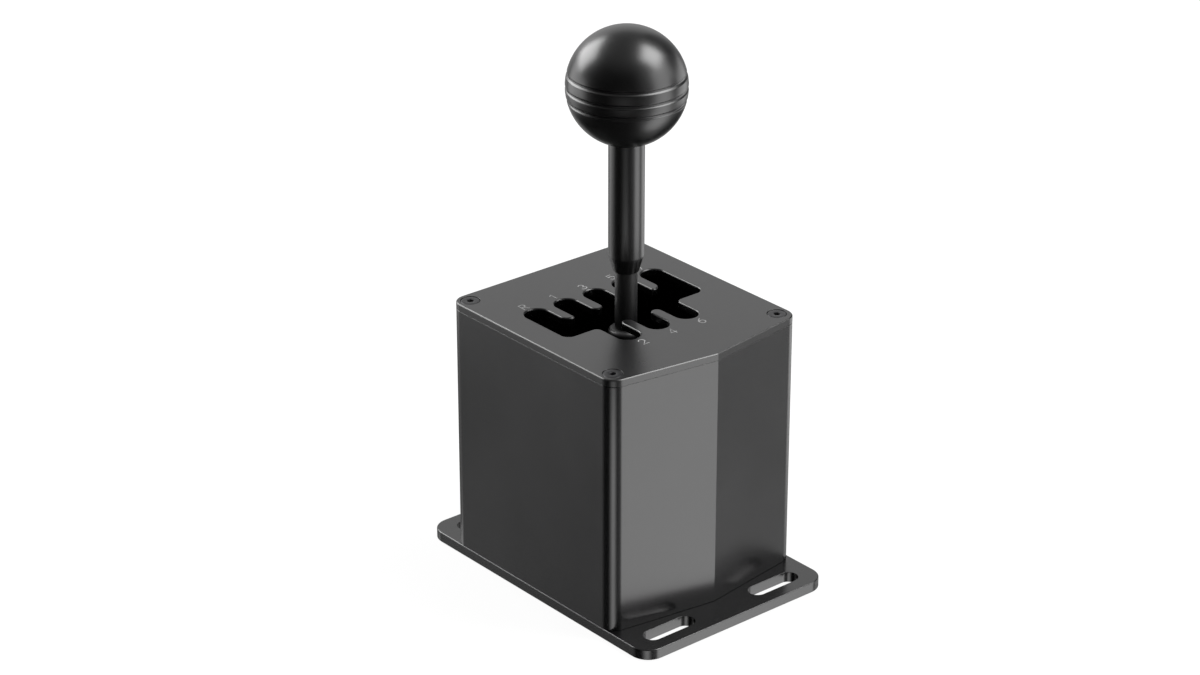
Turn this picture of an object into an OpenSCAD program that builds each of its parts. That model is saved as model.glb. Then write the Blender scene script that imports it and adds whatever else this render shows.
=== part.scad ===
// H-pattern gear shifter for a driving simulator rig.
// Origin: underside of the base plate, on the axis of the upright lever.
// X points to the driver's right, Y away from the driver, Z up.

/* [Housing] */
// Width across the side faces
body_w = 101; // [96:0.5:112]
// Lever axis to the front vertical corners
body_front = 50; // [48:0.5:60]
// Lever axis to the back face
body_back = 54; // [53:0.5:60]
// How far the ridge of the front stands proud of the front corners
ridge = 7.3; // [4:0.1:12]
// Height of the extruded shell
body_h = 111; // [105:0.5:130]
// Thickness of the shell wall
wall = 3; // [2.4:0.1:3.6]
// Outer radius of the four vertical corners
corner_r = 6.5; // [5:0.1:9]
// Chamfer on the two cut ends of the shell
shell_c = 0.2; // [0.15:0.05:0.8]
// Diameter of the screw ports in the shell corners
port_d = 9; // [8:0.1:10]

/* [Base plate] */
// Front to back length of the base plate
base_d = 144.4; // [140:0.2:170]
// Thickness of the base plate
base_t = 4.7; // [4:0.1:8]
// Corner radius of the base plate
base_r = 8.4; // [4:0.1:12]
// Chamfer along the edges of the base plate
base_c = 0.3; // [0.2:0.05:1]
// Width of the fixing slots
fix_slot_w = 8; // [6:0.1:8.6]
// Overall length of the fixing slots
fix_slot_l = 26; // [20:0.5:30]
// Spacing of the fixing slots from side to side
fix_dx = 58; // [50:0.5:62]
// Middle of a fixing slot to the front or back edge of the base plate
fix_edge = 10.2; // [9:0.1:10.4]

/* [Top cover] */
// Thickness of the top cover
cover_t = 3.1; // [2.5:0.1:4]
// Chamfer along the top edge of the cover
cover_c = 0.4; // [0.3:0.05:1.2]
// Corner screws, distance in from the side, front and back faces
screw_inset = 6.1; // [5.6:0.1:7]

/* [Gate] */
// Distance from one lane to the next
lane_pitch = 15.8; // [15.4:0.1:17]
// Width of the inner lanes
slot_w = 10.6; // [10.4:0.1:11.2]
// Width of the two outer lanes
outer_slot_w = 11.2; // [10.6:0.1:11.6]
// Lever axis to the closed end of a lane
slot_reach = 24.7; // [24.4:0.1:28]
// Lever axis to the tips of the forward teeth
front_tip = 7.3; // [6.5:0.1:9]
// Lever axis to the tips of the rear teeth
rear_tip = 7.9; // [6.5:0.1:9]
// Lever axis to the rear edge of the outer lanes
outer_rear = 6.9; // [6.2:0.1:9]
// Radius on the outer side of the two outermost teeth
tooth_r = 3.8; // [2:0.1:4]
// Radius where an outer lane turns into the rear lane
turn_r = 3; // [1:0.1:4]
// Inside radius of the rear corners of the outer lanes
lane_corner_r = 4; // [2:0.1:5]

/* [Lever] */
// Diameter of the rod where it passes the gate
rod_d = 9.4; // [8.5:0.1:9.6]
// Diameter of the rod below its collar
rod_low_d = 12; // [11:0.1:13]
// Cover to the lower end of the handle shaft
cone_gap = 17.5; // [10:0.1:30]
// Length of the cone of the handle shaft
cone_l = 7.3; // [4:0.1:14]
// Diameter at the small end of the cone
cone_d = 10.6; // [10.2:0.1:12]
// Diameter of the handle shaft
handle_d = 15; // [13:0.1:17]
// Length of the straight part of the handle shaft
handle_l = 50; // [40:0.5:90]
// Diameter of the ball knob
knob_d = 50; // [40:0.5:60]
// Diameter of the flat under the knob
knob_flat_d = 16.6; // [16:0.1:22]
// Grooves round the knob, heights above its centre
groove_z = [5.4, -0.2, -5.2];
// Width of a groove at the surface
groove_w = 1.8; // [0.6:0.1:2]
// Depth of a groove
groove_depth = 0.6; // [0.3:0.05:1.2]
// Thread diameter of the studs in the handle shaft
stud_d = 8; // [6:0.1:8.4]
// Outer diameter of the threaded insert in the knob
insert_d = 12; // [11:0.1:14]
// Length of the threaded insert
insert_l = 18; // [14:0.5:22]
// Diameter of the collar on the rod
collar_d = 14.8; // [14:0.1:19]
// Thickness of the collar
collar_t = 6; // [4:0.1:8]
// Cover to the top of the collar
collar_drop = 8.3; // [8:0.1:14]

/* [Pivot] */
// Base plate to the crossing point of the two tilt axes
pivot_h = 33.3; // [32.6:0.1:36]
// Bore of the ball bearings
bearing_id = 8; // [7.6:0.1:8.4]
// Outer diameter of the ball bearings
bearing_od = 16; // [15.4:0.1:17]
// Width of the ball bearings
bearing_w = 5; // [4:0.1:5.2]
// Thickness of the foot of the bracket
foot_t = 4; // [3:0.1:4.6]
// Thickness of the two uprights of the bracket
upright_t = 6; // [5.4:0.1:7]
// Metal round the bearing seats in the bracket
seat_wall = 5; // [3:0.1:6]
// Width of the foot of the bracket
foot_w = 44; // [42:0.5:60]
// Outer width of the yoke
yoke_w = 40; // [38:0.2:42]
// Outer length of the yoke
yoke_l = 48; // [46:0.2:50]
// Height of the yoke
yoke_h = 22; // [21:0.1:23]
// Thickness of the sides of the yoke
yoke_side = 7; // [6.6:0.1:7.6]
// Thickness of the front and back bars of the yoke
yoke_bar = 6; // [5.4:0.1:6.6]
// Length of the hub along the cross shaft
hub_w = 24; // [22:0.1:25]
// Diameter of the hub round the cross shaft
hub_d = 24; // [22:0.1:26]
// Diameter of the neck that holds the rod
neck_d = 20; // [18:0.1:22]
// Pivot to the top of the neck
neck_h = 26; // [22:0.1:30]
// Thickness of the thrust washers
washer_t = 1; // [0.6:0.1:1.4]

/* [Detent] */
// Radius of the cam track about the cross shaft
cam_r = 21; // [20.6:0.1:21.4]
// Metal under the cam track
cam_floor = 5; // [3.6:0.1:6]
// Width of the cam block
cam_w = 14; // [10:0.1:15]
// Angle from neutral to a gear
shift_angle = 13.3; // [12:0.1:14]
// Depth of a notch in the track
notch_depth = 0.9; // [0.6:0.05:1]
// Diameter of the plunger, which has a round nose
plunger_d = 4; // [3.6:0.1:4.2]
// Outer diameter of the plunger's boss under the hub
boss_d = 11; // [10:0.1:12]
// Outer diameter of the centring springs
spring_d = 6; // [5.6:0.1:6.4]
// Wire of the centring springs
spring_wire = 0.9; // [0.7:0.05:1.1]
// Number of turns of the centring springs
spring_turns = 8; // [6:1:9]

/* [Electronics] */
// Thickness of the circuit boards
pcb_t = 1.6; // [1.2:0.1:1.8]
// Height of the main board
pcb_h = 50; // [46:0.5:70]
// Width of the cable socket
socket_w = 13.2; // [12.6:0.1:15]
// Height of the cable socket
socket_h = 12.2; // [11.8:0.1:14]
// Base plate to the middle of the cable socket
socket_z = 13.5; // [12:0.1:20]
// Width of the socket's opening
jack_w = 9.8; // [9.6:0.1:10.4]
// Height of the socket's opening
jack_h = 6.8; // [6.6:0.1:7.2]
// Depth of the socket's opening
jack_depth = 12; // [10:0.1:13]
// Diameter of the sensor magnets
magnet_d = 6; // [5:0.1:7]
// Thickness of the sensor magnets
magnet_t = 1.5; // [1:0.1:1.6]

/* [Fasteners and fits] */
// Thread of the countersunk screws
screw_d = 4; // [3.6:0.1:4.2]
// Head of the countersunk screws
head_d = 8; // [7.4:0.1:8.4]
// Hexagon key of the countersunk screws, across flats
key_w = 2.5; // [2:0.1:2.6]
// Gap round pressed, glued and threaded seats
fit = 0.02; // [0.01:0.01:0.04]
// Gap round a turning or sliding fit
run = 0.05; // [0.03:0.01:0.08]
// Play left between parts that lie side by side
play = 0.25; // [0.2:0.01:0.3]

/* [Hidden] */
$fn = 64;
eps = 0.01;
cut = 1;
arc_steps = 8;

z_seam = base_t + body_h;
z_top = z_seam + cover_t;
z_pivot = base_t + pivot_h;
screw_x = body_w / 2 - screw_inset;
screw_y = [-(body_front - screw_inset), body_back - screw_inset];
sink_play = 0.2;
fix_y = base_d / 2 - fix_edge;
key_depth = 1.6;
seat_step = 4;

// Outline of the housing, counter-clockwise from the front ridge
body_pts = [[0, -body_front - ridge], [body_w / 2, -body_front], [body_w / 2, body_back],
    [-body_w / 2, body_back], [-body_w / 2, -body_front]];
body_radii = [0, corner_r, corner_r, corner_r, corner_r];
base_pts = [[body_w / 2, -base_d / 2], [body_w / 2, base_d / 2],
    [-body_w / 2, base_d / 2], [-body_w / 2, -base_d / 2]];

lever_z = z_top + cone_gap;
shaft_z = lever_z + cone_l;
shaft_top = shaft_z + handle_l;
knob_cut = sqrt(pow(knob_d / 2, 2) - pow(knob_flat_d / 2, 2));
knob_z = shaft_top + knob_cut;
collar_z = z_top - collar_drop - collar_t;
rod_seat = bearing_id / 2 + 4;
rod_stud_l = 20;
knob_stud_l = 14;
stud_end_gap = 0.5;
insert_floor = 2;
pin_d = 4;
grub_d = 3;
grub_key_w = 1.5;
grub_drop = 0.6;

// Along the select axis, outward from the yoke
upright_y = yoke_l / 2 + washer_t + 2 * play;
upright_out = upright_y + upright_t;
clip_t = 1;
clip_gap = 0.3;
clip_rim = 2.5;
clip_groove = 1;
pin_end = upright_out + clip_gap + clip_t + 0.6;
pin_root = yoke_l / 2 - yoke_bar + 1;
washer_d = bearing_id + 6;
chip_t = 0.9;
chip_w = 5;
sensor_gap = 0.7;
board_y = pin_end + magnet_t + sensor_gap + chip_t;
board_edge = 0.6;
board_half = body_w / 2 - wall - board_edge;
rib = 2.2;
rib_reach = 3;

// Along the cross shaft
shaft_end = yoke_w / 2 + clip_gap + clip_t + 1.2;
post_l = shaft_end - yoke_w / 2 + magnet_t + sensor_gap + chip_t;
post_d = 5;
post_y = yoke_l / 2 - yoke_bar - 2;
post_screw_d = 2.5;
post_tap_l = 5;
board_screw_d = 2;
board_head_d = 3.8;
board_head_h = 1.4;
board_tap_l = 4;
sensor_h = 16;
sensor_edge = 4;

// Downward from the cross shaft
ball_r = plunger_d / 2;
track_gap = 0.2;
stroke = notch_depth + track_gap;
tip_r = cam_r - track_gap;
bore_d = plunger_d + 2.2;
bore_top = bearing_id / 2 + 2;
boss_drop = 3.5;
boss_r = cam_r - boss_drop;
sleeve_l = 2.2;
flange_t = 1;
collar_l = 1.5;
sleeve_gap = 0.2;
shoulder_r = boss_r - sleeve_l - sleeve_gap - stroke - collar_l;
cam_top = yoke_h / 2;
cam_screw_d = 3;
cam_screw_y = yoke_l / 2 - yoke_bar / 2;
cam_head_d = 5.5;
cam_head_h = 3;
cam_key_w = 2.5;
cam_key_depth = 1.6;
cam_tap_l = 6;
spring_x = yoke_w / 2 - yoke_side / 2;
pocket = 1.6;
spring_post_h = 5;
bracket_screw = [14, 20];
cover_screw_l = 14;
base_screw_l = 16;

// Packages on the main board: distance from its middle and from its foot, width, thickness, height
processor = [-26, 24, 10, 1.4, 10];
regulator = [14, 10, 6.5, 2, 4];
plug_right = [22, 30, 7.5, 5, 6];
plug_left = [-40, 34, 7.5, 5, 6];

aluminium = [0.13, 0.13, 0.14];
steel = [0.62, 0.63, 0.65];
black_steel = [0.16, 0.16, 0.17];
board_green = [0.10, 0.30, 0.18];

// Unit vector from p to q
function toward(p, q) = (q - p) / norm(q - p);
// Sine of half the angle between two unit vectors
function half_sine(u, v) = sqrt((1 - u * v) / 2);
// Point at distance d inside both edges that meet at corner i of a convex outline
function inset_corner(pts, i, d) =
    let (n = len(pts), u = toward(pts[i], pts[(i + n - 1) % n]), v = toward(pts[i], pts[(i + 1) % n]))
    pts[i] + (u + v) / norm(u + v) * d / half_sine(u, v);
function inset(pts, d) = [for (i = [0 : len(pts) - 1]) inset_corner(pts, i, d)];
// The point at which the arc of radius r at corner i leaves the edge towards corner j
function tangent(pts, i, j, r) =
    let (c = inset_corner(pts, i, r), u = toward(pts[i], pts[j]))
    pts[i] + u * ((c - pts[i]) * u);
// Direction of the edge that leaves corner i, in degrees
function edge_angle(pts, i) =
    let (v = pts[(i + 1) % len(pts)] - pts[i]) atan2(v[1], v[0]);

// A convex outline with its own radius at each corner
module rounded(pts, radii) {
    n = len(pts);
    polygon([for (i = [0 : n - 1]) each radii[i] > 0
        ? [tangent(pts, i, (i + n - 1) % n, radii[i]), tangent(pts, i, (i + 1) % n, radii[i])]
        : [pts[i]]]);
    for (i = [0 : n - 1])
        if (radii[i] > 0) translate(inset_corner(pts, i, radii[i])) circle(radii[i]);
}

// What a chamfer of size c takes off the top edge, at height 0, of a rounded outline
module edge_cutter(pts, radii, c) {
    n = len(pts);
    for (i = [0 : n - 1]) {
        long = norm(pts[(i + 1) % n] - pts[i]);
        translate(pts[i]) rotate(edge_angle(pts, i)) translate([-cut, 0, 0]) rotate([90, 0, 90])
            linear_extrude(long + 2 * cut)
                polygon([[c, 0], [0, -c], [-cut, -c - cut], [-cut, cut], [c + cut, cut]]);
        turn = (edge_angle(pts, i) - edge_angle(pts, (i + n - 1) % n) + 720) % 360;
        r = radii[i];
        if (r > 0)
            translate(inset_corner(pts, i, r)) rotate(edge_angle(pts, (i + n - 1) % n) - 90)
                rotate_extrude(angle = turn)
                    polygon([[r - c, 0], [r, -c], [r + cut, -c - cut], [r + cut, cut], [r - c - cut, cut]]);
    }
}

// A rounded plate from z = 0 to h, with chamfers on its top and bottom edges
module chamfered(pts, radii, h, top_c, bottom_c = 0) {
    difference() {
        linear_extrude(h) rounded(pts, radii);
        if (top_c > 0) translate([0, 0, h]) edge_cutter(pts, radii, top_c);
        if (bottom_c > 0) mirror([0, 0, 1]) edge_cutter(pts, radii, bottom_c);
    }
}

// Children at the four corner screws
module at_corners() {
    for (x = [-screw_x, screw_x], y = screw_y) translate([x, y, 0]) children();
}

// A bar along X or Y, centred on its axis
module along_x(d, x0, x1) {
    translate([x0, 0, 0]) rotate([0, 90, 0]) cylinder(d = d, h = x1 - x0);
}

module along_y(d, y0, y1) {
    translate([0, y0, 0]) rotate([-90, 0, 0]) cylinder(d = d, h = y1 - y0);
}

// Children on both sides of the plane x = 0, or of y = 0
module both_x() {
    children();
    mirror([1, 0, 0]) children();
}

module both_y() {
    children();
    mirror([0, 1, 0]) children();
}

// Countersunk socket screw, its head up and its top face at z = 0
module countersunk(length) {
    cone_h = (head_d - screw_d) / 2;
    rim = 0.3;
    difference() {
        union() {
            translate([0, 0, -rim]) cylinder(d = head_d, h = rim);
            translate([0, 0, -rim - cone_h]) cylinder(d1 = screw_d, d2 = head_d, h = cone_h);
            translate([0, 0, -length]) cylinder(d = screw_d, h = length - rim - cone_h + eps);
        }
        translate([0, 0, -key_depth]) cylinder(d = key_w / cos(30), h = key_depth + cut, $fn = 6);
    }
}

// Hole for that screw in a plate of thickness t whose top face is at z = 0
module countersink(t) {
    sink_d = head_d + 2 * sink_play;
    cone_h = (sink_d - screw_d) / 2;
    rim = 0.3 + sink_play / 2;
    translate([0, 0, -rim]) cylinder(d = sink_d, h = rim + cut);
    translate([0, 0, -rim - cone_h]) cylinder(d1 = screw_d, d2 = sink_d, h = cone_h);
    translate([0, 0, -t - cut]) cylinder(d = screw_d + 2 * sink_play, h = t + cut);
}

// Round wire along a helix, from z = 0 to length
module coil(outer_d, wire, length, turns) {
    sides = 6;
    per_turn = 12;
    rings = turns * per_turn;
    rm = (outer_d - wire) / 2;
    rise = (length - wire) / rings;
    pts = [for (i = [0 : rings], k = [0 : sides - 1])
        let (a = i * 360 / per_turn, b = k * 360 / sides, r = rm + wire / 2 * cos(b))
        [r * cos(a), r * sin(a), wire / 2 + i * rise + wire / 2 * sin(b)]];
    quads = [for (i = [0 : rings - 1], k = [0 : sides - 1])
        let (a = i * sides + k, b = i * sides + (k + 1) % sides)
        each [[a, b, b + sides], [a, b + sides, a + sides]]];
    low = [for (k = [1 : sides - 2]) [0, k + 1, k]];
    last = rings * sides;
    high = [for (k = [1 : sides - 2]) [last, last + k, last + k + 1]];
    polyhedron(concat(pts, []), [for (f = concat(quads, low, high)) [f[0], f[2], f[1]]]);
}

// Retaining clip round a shaft on Z, open towards +X
module clip(shaft_d) {
    difference() {
        cylinder(d = shaft_d + 2 * clip_rim, h = clip_t);
        translate([0, 0, -cut]) cylinder(d = shaft_d - clip_groove + 2 * fit, h = clip_t + 2 * cut);
        translate([0, -shaft_d / 2 * 0.7, -cut]) cube([shaft_d, shaft_d * 0.7, clip_t + 2 * cut]);
    }
}

// Groove for that clip, cut into the shaft
module clip_seat(shaft_d) {
    difference() {
        translate([0, 0, -fit]) cylinder(d = shaft_d + cut, h = clip_t + 2 * fit);
        translate([0, 0, -cut]) cylinder(d = shaft_d - clip_groove, h = clip_t + 2 * cut);
    }
}

// A straight slot along Y with round ends
module stadium(x, y0, y1, w) {
    translate([x - w / 2, y0]) square([w, y1 - y0]);
    translate([x, y0]) circle(d = w);
    translate([x, y1]) circle(d = w);
}

// Right half of the gate outline, counter-clockwise from the rear end of the middle lane:
// x, y and corner radius. R, 1, 3, 5 and 7 lie in front of the cross lane, 2, 4 and 6 behind it.
inner_r = slot_w / 2;
outer_r = outer_slot_w / 2;
full_r = (lane_pitch - slot_w) / 2;
outer_gap = lane_pitch - inner_r - outer_r;
big_r = min(tooth_r, outer_gap - 0.5);
small_r = outer_gap - big_r;
gate_half = [
    [inner_r, -slot_reach, inner_r],
    [inner_r, -rear_tip, full_r],
    [lane_pitch - inner_r, -rear_tip, full_r],
    [lane_pitch - inner_r, -slot_reach, inner_r],
    [lane_pitch + inner_r, -slot_reach, inner_r],
    [lane_pitch + inner_r, -outer_rear, turn_r],
    [2 * lane_pitch + outer_r, -outer_rear, lane_corner_r],
    [2 * lane_pitch + outer_r, slot_reach, outer_r],
    [2 * lane_pitch - outer_r, slot_reach, outer_r],
    [2 * lane_pitch - outer_r, front_tip, big_r],
    [lane_pitch + inner_r, front_tip, small_r],
    [lane_pitch + inner_r, slot_reach, inner_r],
    [lane_pitch - inner_r, slot_reach, inner_r],
    [lane_pitch - inner_r, front_tip, full_r],
    [inner_r, front_tip, full_r],
    [inner_r, slot_reach, inner_r]];
gate_corners = concat(gate_half,
    [for (i = [len(gate_half) - 1 : -1 : 0]) [-gate_half[i][0], gate_half[i][1], gate_half[i][2]]]);
gate_pts = [for (g = gate_corners) [g[0], g[1]]];

// Whether an outline turns left (1) or right (-1) at corner i
function bend(pts, i) =
    let (n = len(pts), a = pts[i] - pts[(i + n - 1) % n], b = pts[(i + 1) % n] - pts[i])
    sign(a[0] * b[1] - a[1] * b[0]);
// The arc that rounds corner i of the gate
function gate_arc(i) =
    let (n = len(gate_pts), side = bend(gate_pts, i), r = gate_corners[i][2],
        c = inset_corner(gate_pts, i, r),
        t0 = tangent(gate_pts, i, (i + n - 1) % n, r) - c,
        a0 = atan2(t0[1], t0[0]))
    [for (k = [0 : arc_steps]) let (a = a0 + side * 90 * k / arc_steps) c + r * [cos(a), sin(a)]];
// The whole outline, without the points at which one arc runs into the next
function gate_path() =
    let (path = [for (i = [0 : len(gate_pts) - 1]) each gate_arc(i)], n = len(path))
    [for (i = [0 : n - 1]) if (norm(path[i] - path[(i + 1) % n]) > 0.001) path[i]];

// The opening of the gate, right through a plate of thickness t that stands on z = 0
module gate_cutter(t) {
    translate([0, 0, -cut]) linear_extrude(t + 2 * cut) polygon(gate_path());
}

module base_plate() color(aluminium) difference() {
    chamfered(base_pts, [base_r, base_r, base_r, base_r], base_t, base_c, base_c);
    for (x = [-fix_dx / 2, fix_dx / 2], y = [-fix_y, fix_y])
        translate([x, y, -cut]) rotate(90) linear_extrude(base_t + 2 * cut)
            stadium(0, -(fix_slot_l - fix_slot_w) / 2, (fix_slot_l - fix_slot_w) / 2, fix_slot_w);
    at_corners() mirror([0, 0, 1]) countersink(base_t);
    for (x = [-bracket_screw[0], bracket_screw[0]], y = [-bracket_screw[1], bracket_screw[1]])
        translate([x, y, 0]) mirror([0, 0, 1]) countersink(base_t);
}

// Two ribs on each side wall make a channel for the edge of the main board
module card_guides() {
    slot = pcb_t + 2 * play;
    both_x() for (y = [board_y - play - rib, board_y - play + slot])
        translate([body_w / 2 - wall - rib_reach, y, 0]) cube([rib_reach + wall / 2, rib, body_h]);
}

module housing() color(aluminium) translate([0, 0, base_t]) difference() {
    inner_r = [for (r = body_radii) max(r - wall, 0)];
    union() {
        difference() {
            chamfered(body_pts, body_radii, body_h, shell_c, shell_c);
            translate([0, 0, -cut]) linear_extrude(body_h + 2 * cut) rounded(inset(body_pts, wall), inner_r);
        }
        at_corners() cylinder(d = port_d, h = body_h);
        card_guides();
    }
    at_corners() translate([0, 0, -cut]) cylinder(d = screw_d + 2 * fit, h = body_h + 2 * cut);
    translate([-socket_w / 2 - play, body_back - wall - cut, socket_z - socket_h / 2 - play])
        cube([socket_w + 2 * play, wall + 2 * cut, socket_h + 2 * play]);
}

module top_cover() color(aluminium) translate([0, 0, z_seam]) difference() {
    chamfered(body_pts, body_radii, cover_t, cover_c);
    gate_cutter(cover_t);
    at_corners() translate([0, 0, cover_t]) countersink(cover_t);
}

module cover_screws() color(black_steel) at_corners() translate([0, 0, z_top - sink_play / 2])
    countersunk(cover_screw_l);

module base_screws() color(black_steel)
    at_corners() translate([0, 0, sink_play / 2]) mirror([0, 0, 1]) countersunk(base_screw_l);

module bracket_screws() color(black_steel)
    for (x = [-bracket_screw[0], bracket_screw[0]], y = [-bracket_screw[1], bracket_screw[1]])
        translate([x, y, sink_play / 2]) mirror([0, 0, 1]) countersunk(base_t + foot_t - 1);

// U-shaped bracket: a foot, two uprights with bearing seats and a stud for each spring
module pivot_bracket() color([0.30, 0.31, 0.33]) {
    top_r = bearing_od / 2 + seat_wall;
    difference() {
        union() {
            translate([-foot_w / 2, -upright_out, base_t]) cube([foot_w, 2 * upright_out, foot_t]);
            both_y() translate([0, upright_out, z_pivot]) rotate([90, 0, 0]) linear_extrude(upright_t) {
                circle(top_r);
                polygon([[-top_r, 0], [-foot_w / 2, -pivot_h + foot_t - eps],
                    [foot_w / 2, -pivot_h + foot_t - eps], [top_r, 0]]);
            }
            both_x() translate([spring_x, 0, base_t + foot_t - eps])
                cylinder(d = spring_d - 2 * spring_wire - 2 * play, h = spring_post_h);
        }
        translate([0, 0, z_pivot]) {
            both_y() along_y(bearing_od + 2 * fit, upright_out - bearing_w, upright_out + cut);
            both_y() along_y(bearing_id + seat_step, upright_y - cut, upright_out);
        }
        for (x = [-bracket_screw[0], bracket_screw[0]], y = [-bracket_screw[1], bracket_screw[1]])
            translate([x, y, base_t - cut]) cylinder(d = screw_d + 2 * fit, h = foot_t + 2 * cut);
    }
}

// Closed ball bearing along Y or X, seen as one ring with a groove where the shield lies
module bearing() {
    shield_w = 0.3;
    shield_mid = (bearing_id + bearing_od) / 4;
    difference() {
        cylinder(d = bearing_od, h = bearing_w);
        translate([0, 0, -cut]) cylinder(d = bearing_id + 2 * run, h = bearing_w + 2 * cut);
        for (z = [-cut, bearing_w - shield_w]) translate([0, 0, z]) difference() {
            cylinder(r = shield_mid + 1.2, h = shield_w + cut);
            translate([0, 0, -cut]) cylinder(r = shield_mid - 1, h = shield_w + 3 * cut);
        }
    }
}

module select_bearings() color(steel) translate([0, 0, z_pivot])
    both_y() translate([0, upright_out - bearing_w, 0]) rotate([-90, 0, 0]) bearing();

module shift_bearings() color(steel) translate([0, 0, z_pivot])
    both_x() translate([yoke_w / 2 - bearing_w, 0, 0]) rotate([0, 90, 0]) bearing();

module centring_springs() color(steel) {
    z0 = base_t + foot_t + play / 2;
    z1 = z_pivot - yoke_h / 2 + pocket - play / 2;
    both_x() translate([spring_x, 0, z0]) coil(spring_d, spring_wire, z1 - z0, spring_turns);
}

module main_board() color(board_green)
    translate([-board_half, board_y, base_t + play]) cube([2 * board_half, pcb_t, pcb_h]);

// Processor, voltage regulator and two connectors for the sensors
module board_chips() color([0.08, 0.08, 0.09]) translate([0, board_y + pcb_t, base_t + play]) {
    for (part = [processor, regulator, plug_right, plug_left])
        translate([part[0], 0, part[1]]) cube([part[2], part[3], part[4]]);
}

module select_sensor() color([0.08, 0.08, 0.09])
    translate([-chip_w / 2, board_y - chip_t, z_pivot - chip_w / 2]) cube([chip_w, chip_t, chip_w]);

// Modular cable socket with the notch for the plug's catch under its opening
module cable_socket() color([0.09, 0.09, 0.10]) translate([0, 0, base_t + socket_z]) {
    y0 = board_y + pcb_t;
    y1 = body_back - play;
    catch_w = 6.4;
    catch_h = 2;
    difference() {
        translate([-socket_w / 2, y0, -socket_h / 2]) cube([socket_w, y1 - y0, socket_h]);
        translate([-jack_w / 2, y1 - jack_depth, -jack_h / 2]) cube([jack_w, jack_depth + cut, jack_h]);
        translate([-catch_w / 2, y1 - jack_depth, -jack_h / 2 - catch_h])
            cube([catch_w, jack_depth + cut, catch_h + eps]);
    }
}

// Ring that tilts sideways in the bracket and carries the cross shaft of the lever
module select_yoke() color([0.45, 0.46, 0.48]) translate([0, 0, z_pivot]) difference() {
    edge = 3;
    translate([0, 0, -yoke_h / 2]) chamfered([[yoke_w / 2, -yoke_l / 2], [yoke_w / 2, yoke_l / 2],
        [-yoke_w / 2, yoke_l / 2], [-yoke_w / 2, -yoke_l / 2]], [edge, edge, edge, edge], yoke_h, 0.6, 0);
    translate([-yoke_w / 2 + yoke_side, -yoke_l / 2 + yoke_bar, -yoke_h / 2 - cut])
        cube([yoke_w - 2 * yoke_side, yoke_l - 2 * yoke_bar, yoke_h + 2 * cut]);
    both_x() along_x(bearing_od + 2 * fit, yoke_w / 2 - bearing_w, yoke_w / 2 + cut);
    both_x() along_x(bearing_id + seat_step, yoke_w / 2 - yoke_side - cut, yoke_w / 2);
    both_y() along_y(bearing_id + 2 * fit, yoke_l / 2 - yoke_bar - cut, yoke_l / 2 + cut);
    both_x() translate([spring_x, 0, -yoke_h / 2 - cut]) cylinder(d = spring_d + 2 * play, h = pocket + cut);
    both_y() translate([0, cam_screw_y, -yoke_h / 2 - cut]) cylinder(d = cam_screw_d + 2 * fit, h = cam_tap_l + cut);
    for (y = [-post_y, post_y]) translate([0, y, 0])
        along_x(post_screw_d + 2 * fit, -yoke_w / 2 - cut, -yoke_w / 2 + post_tap_l);
}

module select_pins() color(steel) translate([0, 0, z_pivot]) both_y() difference() {
    along_y(bearing_id, pin_root, pin_end);
    translate([0, upright_out + clip_gap, 0]) rotate([-90, 0, 0]) clip_seat(bearing_id);
}

module thrust_washers() color([0.80, 0.68, 0.40]) translate([0, 0, z_pivot]) both_y() difference() {
    along_y(washer_d, yoke_l / 2 + play, yoke_l / 2 + play + washer_t);
    along_y(bearing_id + 2 * run, yoke_l / 2 - cut, upright_y + cut);
}

module select_clips() color(steel) translate([0, 0, z_pivot])
    both_y() translate([0, upright_out + clip_gap, 0]) rotate([-90, 0, 0]) clip(bearing_id);

module select_magnet() color([0.72, 0.72, 0.74]) translate([0, 0, z_pivot])
    along_y(magnet_d, pin_end, pin_end + magnet_t);

// Block under the yoke with the round track and its three notches
module detent_cam() color([0.55, 0.56, 0.58]) translate([0, 0, z_pivot]) difference() {
    translate([-cam_w / 2, -yoke_l / 2, -cam_r - cam_floor])
        cube([cam_w, yoke_l, cam_r + cam_floor - cam_top]);
    along_x(2 * cam_r, -cam_w / 2 - cut, cam_w / 2 + cut);
    for (a = [-shift_angle, 0, shift_angle]) rotate([a, 0, 0])
        translate([0, 0, -cam_r - notch_depth + ball_r])
            along_x(plunger_d + 0.3, -cam_w / 2 - cut, cam_w / 2 + cut);
    both_y() translate([0, cam_screw_y, -cam_r - cam_floor - cut]) {
        cylinder(d = cam_screw_d + 2 * run, h = cam_r + cam_floor);
        cylinder(d = cam_head_d + 2 * play, h = cam_head_h + play + cut);
    }
}

module cam_screws() color(black_steel) translate([0, 0, z_pivot]) both_y()
    translate([0, cam_screw_y, -cam_r - cam_floor + play]) difference() {
        union() {
            cylinder(d = cam_head_d, h = cam_head_h);
            cylinder(d = cam_screw_d, h = cam_r + cam_floor - cam_top + cam_tap_l - 2);
        }
        translate([0, 0, -cut]) cylinder(d = cam_key_w / cos(30), h = cam_key_depth + cut, $fn = 6);
    }

module sensor_posts() color(steel) translate([0, 0, z_pivot]) for (y = [-post_y, post_y])
    translate([0, y, 0]) difference() {
        union() {
            along_x(post_d, -yoke_w / 2 - post_l, -yoke_w / 2);
            along_x(post_screw_d, -yoke_w / 2 - eps, -yoke_w / 2 + post_tap_l - 1);
        }
        along_x(board_screw_d + 2 * fit, -yoke_w / 2 - post_l - cut, -yoke_w / 2 - post_l + board_tap_l);
    }

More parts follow.
